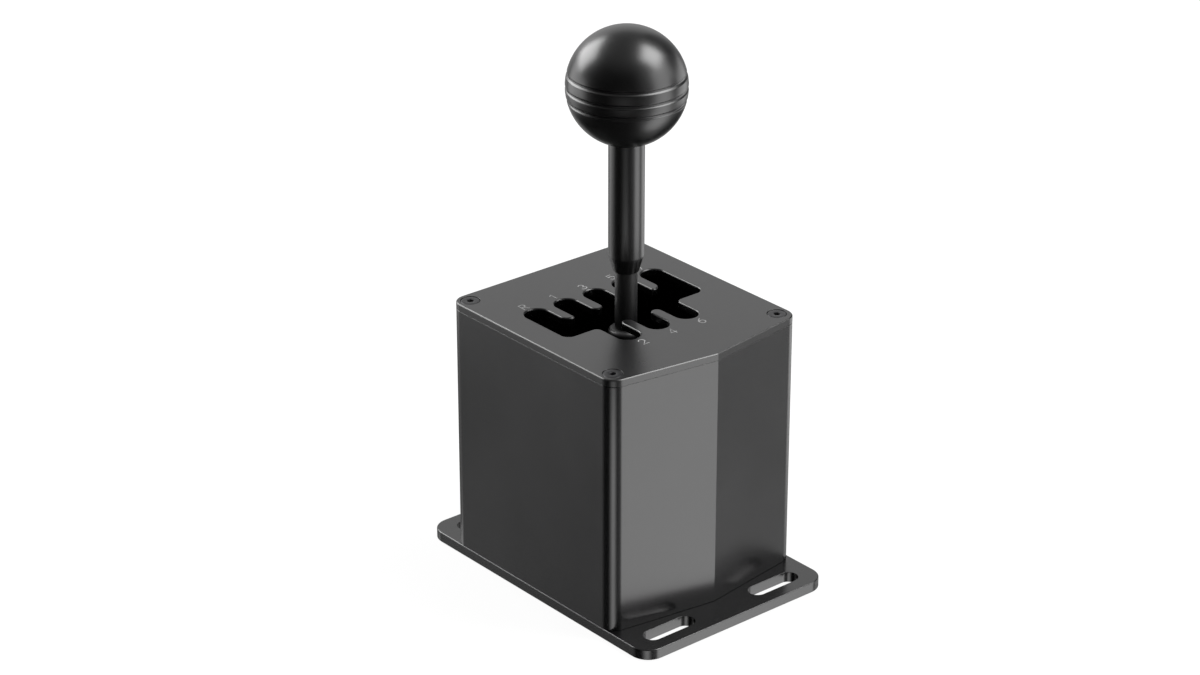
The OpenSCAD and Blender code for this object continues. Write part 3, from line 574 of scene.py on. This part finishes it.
# The lanes are one LANE apart. The marks' base lines are BEHIND and BEFORE the gate
LANE = 15.8
BEHIND = 26.2
BEFORE = -31.3
PLACES = {"R": (-2 * LANE, BEHIND), "1": (-LANE, BEHIND), "3": (0, BEHIND), "5": (LANE, BEHIND),
          "7": (2 * LANE, BEHIND), "2": (-LANE, BEFORE), "4": (0, BEFORE), "6": (LANE, BEFORE)}
points, edges = [], []
for sign, (x, y) in PLACES.items():
    for line in PATHS[sign]:
        first = len(points)
        points += [((x + px) * MM, (y + py) * MM, 0) for px, py in line]
        edges += [(k, k + 1) for k in range(first, len(points) - 1)]
gear_marks = grow("gear_marks", marks, seed_mesh("mark_paths", points, edges), etched_grey,
                  Line_width=0.42 * MM, Thickness=0.05 * MM, Height=TOP)
settle(gear_marks, "root", "black_anodised")

# %% [markdown]
# ## Countersunk screws
# Four screws hold the cover, four the base plate and four the bracket. A screw is a body of
# revolution, apart from its hexagon socket and its thread, and both of those are also rules
# of angle and height. So one function walks round and up and works out each point. A tree
# then puts four copies on a rectangle, turned by random but fixed angles, as hands leave them.

# %% One screw
# An M4 screw in millimetres: its key, its thread and the points round it
KEY = 2.5
PITCH = 0.7
CORE = 1.62
THREAD_DEPTH = 0.36
THREAD_TOP = -2.6
ROUND = 36


def hexagon(radius, angle):
    """Distance from the axis to a hexagon with that inner radius."""
    return radius / math.cos((angle + math.pi / 6) % (math.pi / 3) - math.pi / 6)


def screw_rings(length):
    """(height, function from angle to radius) from the socket's floor to the tip, in mm."""
    key = lambda a: hexagon(KEY / 2, a)
    level = lambda r: (lambda a: r)
    rings = [(-2.35, level(0.02)), (-2.2, key), (-0.2, key), (-0.06, lambda a: key(a) + 0.10),
             (0.0, level(1.72)), (0.0, level(3.74)), (-0.03, level(3.88)), (-0.11, level(3.97)),
             (-0.3, level(4.0)), (-0.38, level(3.96)), (-2.3, level(2.0))]
    z = THREAD_TOP
    while z > 1.1 - length:
        wave = lambda a, z=z: abs(2 * ((z / PITCH + a / math.tau) % 1) - 1)
        rings.append((z, lambda a, wave=wave: CORE + THREAD_DEPTH * wave(a)))
        z -= PITCH / 5
    return rings + [(0.7 - length, level(1.6)), (-length, level(1.1)), (-length, level(0.02))]


def rings_to_mesh(name, rings, sides):
    """A closed skin through the rings, the first ring and the last drawn together."""
    points, faces = [], []
    for z, radius in rings:
        for k in range(sides):
            a = math.tau * k / sides
            points.append((radius(a) * math.cos(a) * MM, radius(a) * math.sin(a) * MM, z * MM))
    for row in range(len(rings) - 1):
        for k in range(sides):
            a, b = row * sides + k, row * sides + (k + 1) % sides
            faces.append((a, a + sides, b + sides, b))
    faces += [tuple(range(sides)), tuple(range(len(points) - 1, len(points) - sides - 1, -1))]
    mesh = seed_mesh(name, points, (), faces)
    face_outwards(mesh)
    mesh.shade_smooth()
    mesh.set_sharp_from_angle(angle=math.radians(38))
    return mesh


# %% The tree that sets four of them
four, given = new_tree("four_screws", Spacing_X=float, Spacing_Y=float, Middle_Y=float,
                       Height=float, Tilt=float, Seed=int)
spots = four.node("GeometryNodeMeshGrid", None, Size_X=given["Spacing_X"],
                  Size_Y=given["Spacing_Y"], Vertices_X=2, Vertices_Y=2)
lift = four.node("ShaderNodeCombineXYZ", None, 0.0, given["Middle_Y"], given["Height"])
spots = four.node("GeometryNodeTransform", None, spots, Translation=lift)
spin = four.node("FunctionNodeRandomValue", {"data_type": "FLOAT"}, out=1, Seed=given["Seed"])
turn = four.node("ShaderNodeCombineXYZ", None, given["Tilt"], 0.0, spin * math.tau)
seats = four.node("GeometryNodeInstanceOnPoints", None, Points=spots, Instance=given["Geometry"],
                  Rotation=turn)
close_tree(four, seats, given)


def set_screws(name, node, length, spacing_x, spacing_y, middle_y, height, tilt, seed):
    """Four screws with their heads at a height. Lengths are in millimetres."""
    one = rings_to_mesh(name + "_one", screw_rings(length), ROUND)
    made = grow(name, four, one, screw_black, Spacing_X=spacing_x * MM, Spacing_Y=spacing_y * MM,
                Middle_Y=middle_y * MM, Height=height * MM, Tilt=tilt, Seed=seed)
    return settle(made, "root", "black_screw_steel", node)


set_screws("cover_screws_m4", "cover_screws", length=14, spacing_x=88.8, spacing_y=91.8,
           middle_y=2.0, height=118.7, tilt=0.0, seed=3)
set_screws("base_screws_m4", "base_screws", length=16, spacing_x=88.8, spacing_y=91.8,
           middle_y=2.0, height=0.1, tilt=math.pi, seed=5)
set_screws("bracket_screws_m4", "bracket_screws", length=7.7, spacing_x=28, spacing_y=40,
           middle_y=0.0, height=0.1, tilt=math.pi, seed=8)

# %% [markdown]
# ## Ball knob
# The knob is turned in one go: a ball with three shallow grooves whose lips are rounded. Its
# shape follows a rule, so it is a Geometry Nodes tree. The tree takes a plain tube, reads each
# point's height as an angle from the bottom of the ball to the top, and sets the radius to the
# ball's, less a groove where one is near. The underside, which meets the handle, is the seed
# that the ball joins.

# %% Underside of the knob
# In millimetres: the ball's radius, that of its flat underside and of the bore, and the height
# of the ball's middle. CUT is the flat's distance below that middle
BALL = 25.0
FLAT = 8.3
HOLE = 6.02
KNOB_Z = 217.18
CUT = math.sqrt(BALL**2 - FLAT**2)
SIDES = 96
# (height over the flat, radius), from the bore's floor down and out to the ball
under = [(18.1, 0.02), (18.1, HOLE), (0.55, HOLE), (0.28, HOLE + 0.25), (0.25, HOLE + 0.4),
         (0.25, FLAT - 0.35), (0.29, FLAT - 0.1), (0.42, FLAT + 0.06)]
rim_height = under[-1][0]
points = [(radius * math.cos(math.tau * k / SIDES) * MM,
           radius * math.sin(math.tau * k / SIDES) * MM, (height - CUT) * MM)
          for height, radius in under for k in range(SIDES)]
faces = [(row * SIDES + k, row * SIDES + (k + 1) % SIDES, (row + 1) * SIDES + (k + 1) % SIDES,
          (row + 1) * SIDES + k) for row in range(len(under) - 1) for k in range(SIDES)]
knob_seed = seed_mesh("knob_underside", points, (), [*faces, tuple(range(SIDES))])
print("knob underside", len(faces), "faces")

# %% The tree of the ball
ball, given = new_tree("grooved_ball", Radius=float, Start_angle=float, Groove_width=float,
                       Groove_depth=float, Wall_width=float, Groove_1=float, Groove_2=float,
                       Groove_3=float, Height=float)
tube = ball.node("GeometryNodeMeshCylinder", {"fill_type": "NONE"}, Vertices=SIDES,
                 Side_Segments=720, Radius=1.0, Depth=1.0)
tube_x, tube_y, tube_z = split(ball, ball.node("GeometryNodeInputPosition"))
angle = given["Start_angle"] + (tube_z + 0.5) * (math.pi - given["Start_angle"])
high = ball.math("COSINE", angle) * given["Radius"] * -1
wide = ball.math("SINE", angle) * given["Radius"]
for number in (1, 2, 3):
    off = ball.math("ABSOLUTE", high - given[f"Groove_{number}"])
    wall = ease((given["Groove_width"] / 2 - off) / given["Wall_width"], 0, 1)
    wide = wide - wall * given["Groove_depth"]
moved = ball.node("ShaderNodeCombineXYZ", None, tube_x * wide, tube_y * wide, high)
shaped = ball.node("GeometryNodeSetPosition", None, Geometry=tube, Position=moved)
both = join(ball, given["Geometry"], shaped)
whole = ball.node("GeometryNodeMergeByDistance", None, both, Distance=0.02 * MM)
lift = ball.node("ShaderNodeCombineXYZ", None, 0.0, 0.0, given["Height"])
close_tree(ball, ball.node("GeometryNodeTransform", None, whole, Translation=lift), given)

# %% Knob
knob = grow("knob_ball", ball, knob_seed, knob_black, Radius=BALL * MM,
            Start_angle=math.acos((CUT - rim_height) / BALL), Groove_width=2.2 * MM,
            Groove_depth=0.6 * MM, Wall_width=0.9 * MM, Groove_1=5.4 * MM, Groove_2=-0.2 * MM,
            Groove_3=-5.2 * MM, Height=KNOB_Z * MM)
face_outwards(knob.data, merge=0.01 * MM)
knob.data.shade_smooth()
knob.data.set_sharp_from_angle(angle=math.radians(65))
settle(knob, "lever", "knob_black", "ball_knob")

# %% [markdown]
# ## Lever
# The handle shaft, the rod below it and the collar on the rod are the parts of the lever that
# show. They could be lathed again from a profile, but the CAD solids already hold it and fit
# their neighbours, so they keep their shapes and get rounded rims. What rides along with the
# lever inside the box is treated the same way.

# %% Lever
for node, width, surface, slot in (
        ("handle_shaft", 0.15, handle_black, "black_anodised"),
        ("lever_rod", 0.25, rod_black, "blackened_rod"),
        ("rod_collar", 0.25, rod_black, "machined_aluminium"),
        ("lever_hub", 0.3, grey_aluminium, "machined_aluminium"),
        ("cross_shaft", 0.2, ground_steel, "ground_steel"),
        ("rod_pin", 0.25, ground_steel, "ground_steel"),
        ("shaft_clips", 0.08, spring_steel, "ground_steel"),
        ("shift_magnet", 0.12, nickel, "magnet_nickel"),
        ("collar_screw", 0.08, ground_steel, "ground_steel"),
        ("knob_stud", 0.4, ground_steel, "ground_steel"),
        ("knob_insert", 0.3, turned_brass, "turned_brass"),
        ("plunger_sleeve", 0.1, turned_brass, "turned_brass")):
    dress(node, width, surface, "lever", slot)
dress("detent_plunger", 0.1, ground_steel, "detent", "ground_steel")

# %% [markdown]
# ## Mechanism in the box
# The tilting yoke, its bracket, bearings and sensors are hidden, but the part may be opened or
# cut for a drawing, so they get the same care: rounded edges and a finish each.

# %% Bracket, bearings and boards that stay still
for node, width, surface, slot in (
        ("pivot_bracket", 0.3, grey_aluminium, "machined_aluminium"),
        ("select_bearings", 0.12, ground_steel, "ground_steel"),
        ("main_board", 0.08, circuit_board, "circuit_board"),
        ("board_chips", 0.15, moulded_black, "moulded_black"),
        ("select_sensor", 0.1, moulded_black, "moulded_black"),
        ("cable_socket", 0.25, moulded_black, "moulded_black")):
    dress(node, width, surface, "root", slot)

# %% Yoke and what tilts with it
for node, width, surface, slot in (
        ("select_yoke", 0.3, grey_aluminium, "machined_aluminium"),
        ("detent_cam", 0.2, grey_aluminium, "machined_aluminium"),
        ("select_pins", 0.2, ground_steel, "ground_steel"),
        ("thrust_washers", 0.1, turned_brass, "turned_brass"),
        ("select_clips", 0.08, spring_steel, "ground_steel"),
        ("select_magnet", 0.12, nickel, "magnet_nickel"),
        ("shift_bearings", 0.12, ground_steel, "ground_steel"),
        ("cam_screws", 0.15, screw_black, "black_screw_steel"),
        ("sensor_posts", 0.15, ground_steel, "ground_steel"),
        ("sensor_board", 0.08, circuit_board, "circuit_board"),
        ("shift_sensor", 0.1, moulded_black, "moulded_black"),
        ("sensor_screws", 0.12, ground_steel, "ground_steel")):
    dress(node, width, surface, "yoke", slot)

# %% [markdown]
# ## Springs
# A coil spring is a wire along a helix whose last turns lie flat, so that it stands square.
# The tree bends a straight line into that helix: the angle grows evenly, while the height
# waits at both ends. Two of them centre the yoke, and a small one pushes the detent plunger.

# %% The tree of a spring
# Turns that lie flat at each end, and the share of the climb that goes on even there
FLAT_TURNS = 0.85
STEADY = 0.14
coil, given = new_tree("wound_spring", Coil_radius=float, Wire_radius=float, Length=float,
                       Turns=float, Base=float, Count=int, Spacing=float)
line = coil.node("GeometryNodeCurvePrimitiveLine", None, Start=(0, 0, 0), End=(0, 0, 1))
line = coil.node("GeometryNodeResampleCurve", None, line, Count=240)
part = coil.node("GeometryNodeSplineParameter")
sweep = part * given["Turns"] * math.tau
end_turn = FLAT_TURNS / given["Turns"]
climb = (part - end_turn) / (1 - end_turn * 2)
climb = coil.node("ShaderNodeClamp", None, climb)
climb = climb * (1 - STEADY) + part * STEADY
inner_length = given["Length"] - given["Wire_radius"] * 2
rise = given["Base"] + given["Wire_radius"] + climb * inner_length
round_x = coil.math("COSINE", sweep) * given["Coil_radius"]
round_y = coil.math("SINE", sweep) * given["Coil_radius"]
bent = coil.node("GeometryNodeSetPosition", None, Geometry=line,
                 Position=coil.node("ShaderNodeCombineXYZ", None, round_x, round_y, rise))
ring = coil.node("GeometryNodeCurvePrimitiveCircle", None, Resolution=10,
                 Radius=given["Wire_radius"])
wire = coil.node("GeometryNodeCurveToMesh", None, bent, ring, Fill_Caps=True)
wire = coil.node("GeometryNodeSetShadeSmooth", None, wire)
first = coil.node("ShaderNodeCombineXYZ", None, given["Spacing"] * -0.5, 0.0, 0.0)
step = coil.node("ShaderNodeCombineXYZ", None, given["Spacing"], 0.0, 0.0)
seats = coil.node("GeometryNodeMeshLine", None, Count=given["Count"], Start_Location=first,
                  Offset=step)
coils = coil.node("GeometryNodeInstanceOnPoints", None, Points=seats, Instance=wire)
close_tree(coil, coils, given)


# %% Springs
def wind(name, node, lower, upper, outer, wire, turns, count, spacing):
    """count springs between two heights. outer and wire are diameters in millimetres."""
    made = grow(name, coil, seed_mesh(name + "_seed"), spring_steel,
                Coil_radius=(outer - wire) / 2 * MM, Wire_radius=wire / 2 * MM,
                Length=upper - lower, Turns=turns, Base=lower, Count=count, Spacing=spacing * MM)
    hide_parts(node)
    print(f"{name}: {len(made.data.polygons)} faces")
    return made


low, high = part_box("centring_springs")
springs = wind("centring_springs_wound", "centring_springs", low[2], high[2], outer=6.0,
               wire=0.9, turns=9.0, count=2, spacing=33.0)
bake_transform(springs)
low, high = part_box("detent_spring")
small = wind("detent_spring_wound", "detent_spring", low[2], high[2], outer=5.4, wire=0.6,
             turns=6.0, count=1, spacing=0.0)
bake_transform(small)

# %% [markdown]
# ## Contacts of the cable socket
# Six thin gilded springs lie in the roof of the socket. Each could be bent by hand, but they
# repeat at an even pitch, so one bent strip is the seed and a tree repeats it along a line.

# %% The tree of a row
row, given = new_tree("even_row", Count=int, Pitch=float)
middle = (given["Count"] - 1) * given["Pitch"] * -0.5
first = row.node("ShaderNodeCombineXYZ", None, middle, 0.0, 0.0)
step = row.node("ShaderNodeCombineXYZ", None, given["Pitch"], 0.0, 0.0)
seats = row.node("GeometryNodeMeshLine", None, Count=given["Count"], Start_Location=first,
                 Offset=step)
strips = row.node("GeometryNodeInstanceOnPoints", None, Points=seats, Instance=given["Geometry"])
close_tree(row, strips, given)


def strip(name, path, width, thick):
    """A bent strip of sheet. path is its middle line as (y, z) in mm."""
    points, faces = [], []
    for k, (y, z) in enumerate(path):
        before, after = path[max(k - 1, 0)], path[min(k + 1, len(path) - 1)]
        ahead = Vector((after[0] - before[0], after[1] - before[1])).normalized() * thick / 2
        for x, side in ((-width / 2, 1), (width / 2, 1), (width / 2, -1), (-width / 2, -1)):
            points.append((x * MM, (y - ahead.y * side) * MM, (z + ahead.x * side) * MM))
    for k in range(len(path) - 1):
        for c in range(4):
            a, b = 4 * k + c, 4 * k + (c + 1) % 4
            faces.append((a, b, b + 4, a + 4))
    last = len(points)
    faces += [(3, 2, 1, 0), (last - 4, last - 3, last - 2, last - 1)]
    return seed_mesh(name, points, (), faces)


# %% Contacts
low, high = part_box("cable_socket")
roof = (low[2] + high[2]) / 2 / MM + 3.4
mouth = high[1] / MM
bend = [(mouth - 11.9, roof - 2.6), (mouth - 10, roof - 2.4), (mouth - 7, roof - 1.4),
        (mouth - 4, roof - 0.5), (mouth - 3.2, roof - 0.35), (mouth - 2.4, roof - 0.32)]
one_contact = strip("one_contact", bend, width=0.45, thick=0.2)
contacts = grow("socket_contacts", row, one_contact, turned_brass, Count=6, Pitch=1.02 * MM)
face_outwards(contacts.data)
settle(contacts, "root", "turned_brass")

# %% [markdown]
# ## Floor and light
# The photograph is a plain studio picture on white. The knob is a good mirror ball, and it
# shows where the light comes from: a soft box behind on the left, another high on the right,
# a tall bright panel in front on the right and dimmer ones around. The camera sees white. The
# reflections look through the floor into the same room and see its panels, which decide how
# bright each face of the box is. Two parts of the floor let less of a reflection through. One
# is far out in front on the left, where the lever's reflections land from the photograph's
# side, and one is close behind the box, for those of its left edge. Everything else is lit at
# a plain, even level.

# %% Panels of the room
# Degrees round from +X and up from the horizon: from, to, from, to, and the brightness there
PANELS = {
    "front_right": (-77, -41, -64, 36, 2.45),
    "front_right_high": (-41, -26, 8, 36, 1.7),
    "front_right_low": (-41, -28, -66, -33, 1.7),
    "front_edge": (-104, -77, -60, 45, 0.25),
    "right_low": (-41, -12, -56, -16, 0.34),
    "right": (-22, 14, -28, 6, 1.75),
    "right_back": (14, 30, -26, 30, 0.25),
    "back": (30, 84, 1, 40, 0.84),
    "back_high": (20, 100, 40, 58, 0.17),
    "back_low": (30, 84, -45, 1, 0.50),
    "back_left": (95, 146, -20, 8, 2.0),
    "back_left_low": (122, 150, -40, -20, 0.17),
    "behind_low": (92, 122, -34, -20, 1.0),
    "front_left": (-160, -112, -34, -4, 1.0),
    "front_left_middle": (-147, -123, -34, -4, 1.5),
}
# Brightness that unmirrored light sees, that of the gaps between the panels, and the ceiling's,
# which comes up between two heights in degrees
PLAIN = 0.25
GAPS = 0.01
CEILING = 0.22
CEILING_FROM, CEILING_FULL = 36, 68


def panel(round_about, up, left, right, low, high, soft=4):
    """1 in one panel's part of the room and 0 outside it."""
    across = (ease(round_about, left - soft, left + soft)
              - ease(round_about, right - soft, right + soft))
    return across * (ease(up, low - soft, low + soft) - ease(up, high - soft, high + soft))


def ray_kinds(graph):
    """Wires that are 1 for a camera ray, and for a ray off or through something."""
    eye, mirror, through = (graph.node("ShaderNodeLightPath", out=f"Is {kind} Ray")
                            for kind in ("Camera", "Glossy", "Transmission"))
    return eye, graph.math("MINIMUM", mirror + through, 1.0)


# %% Surroundings
world = bpy.data.worlds.new("studio")
scene.world = world
world.use_nodes = True
world.node_tree.nodes.clear()
world.cycles.sampling_method = "NONE"
g = Graph(world.node_tree)
eye, mirrored = ray_kinds(g)
east, north, height = split(g, g.node("ShaderNodeTexCoord", out="Generated"))
round_about = g.math("DEGREES", g.math("ARCTAN2", north, east))
up = g.math("DEGREES", g.math("ARCSINE", height))
room = GAPS + ease(up, CEILING_FROM, CEILING_FULL) * CEILING
for left, right, low, high, level in PANELS.values():
    room = room + panel(round_about, up, left, right, low, high) * level
light = g.node("ShaderNodeBackground", None, Color=(1, 1, 1, 1),
               Strength=eye + (1 - eye) * (mirrored * room + (1 - mirrored) * PLAIN))
leave = world.node_tree.nodes.new("ShaderNodeOutputWorld")
world.node_tree.links.new(light.socket, leave.inputs[0])
print("room", len(PANELS), "panels", len(world.node_tree.nodes), "nodes")

# %% Floor
# It lies just under the base plate, so that the plate's underside doesn't share its plane
FLOOR_Z = -0.1 * MM
FLOOR_HALF = 3
# The grey of the paper, the glow that the camera sees, and that glow's share
PAPER_GREY = (0.75, 0.75, 0.75, 1)
GLOW = 1.12
GLOW_SHARE = 0.80
# Metres from the middle where near turns into far, and how much each shaded part takes away
NEAR, FAR = 0.29, 0.34
FRONT_LEFT_SHADE = 0.87
BEHIND_SHADE = 0.6
# Bearings in degrees between which a shaded part comes in, and between which it goes out
FRONT_LEFT = (-178, -166, -112, -100)
BEHIND_BOX = (84, 92, 124, 130)


def sector(bearing, comes, full, fades, gone):
    return ease(bearing, comes, full) - ease(bearing, fades, gone)


corners = [(x * FLOOR_HALF, y * FLOOR_HALF, FLOOR_Z)
           for x, y in ((-1, -1), (1, -1), (1, 1), (-1, 1))]
floor_mesh = seed_mesh("floor", corners, (), [(0, 1, 2, 3)])
floor = link("floor", floor_mesh)
paper = bpy.data.materials.new("white_paper")
paper.use_nodes = True
paper.node_tree.nodes.clear()
g = Graph(paper.node_tree)
eye, mirrored = ray_kinds(g)
glow = g.node("ShaderNodeEmission", None, Color=(1, 1, 1, 1), Strength=GLOW)
matt = g.node("ShaderNodeBsdfDiffuse", None, Color=PAPER_GREY)
x, y, _ = split(g, g.node("ShaderNodeTexCoord", out="Object"))
far_off = ease(g.math("SQRT", x * x + y * y), NEAR, FAR)
bearing = g.math("DEGREES", g.math("ARCTAN2", y, x))
front_left = far_off * sector(bearing, *FRONT_LEFT)
behind_box = (1 - far_off) * sector(bearing, *BEHIND_BOX)
darkness = mirrored * (front_left * FRONT_LEFT_SHADE + behind_box * BEHIND_SHADE)
clear = g.node("ShaderNodeBsdfTransparent", None, Color=g.blend(darkness, (1, 1, 1), (0, 0, 0)))
seen = g.node("ShaderNodeMixShader", None, eye * GLOW_SHARE, matt, glow)
from_below = g.node("ShaderNodeNewGeometry", out="Backfacing")
see_through = g.math("MAXIMUM", mirrored, from_below)
seen = g.node("ShaderNodeMixShader", None, see_through, seen, clear)
leave = paper.node_tree.nodes.new("ShaderNodeOutputMaterial")
paper.node_tree.links.new(seen.socket, leave.inputs[0])
floor_mesh.materials.append(paper)
print("floor", 2 * FLOOR_HALF, "m wide", len(paper.node_tree.nodes), "nodes")


# %% Soft boxes
AIM = Vector((0, 0, 0.12))


def soft_box(name, azimuth, elevation, distance, width, height, level):
    """An area light turned to AIM. level is its brightness, whatever its size."""
    a, e = math.radians(azimuth), math.radians(elevation)
    away = Vector((math.sin(a) * math.cos(e), -math.cos(a) * math.cos(e), math.sin(e)))
    lamp = bpy.data.lights.new(name, "AREA")
    lamp.shape = "RECTANGLE"
    lamp.size = width
    lamp.size_y = height
    lamp.energy = level * math.pi * width * height
    stand = bpy.data.objects.new(name, lamp)
    stand.location = AIM + away * distance
    stand.rotation_euler = (-away).to_track_quat("-Z", "Y").to_euler()
    scene.collection.objects.link(stand)
    print(name, "azimuth", azimuth, "elevation", elevation, "level", level)


soft_box("box_behind_left", azimuth=-164, elevation=31, distance=1.6, width=1.10, height=0.95,
         level=6.8)
soft_box("box_right", azimuth=52, elevation=54, distance=1.6, width=0.95, height=0.85,
         level=8.2)

# %% [markdown]
# ## Colours
# The colours stay as they are written.

# %% Finish
scene.view_settings.view_transform = "Standard"
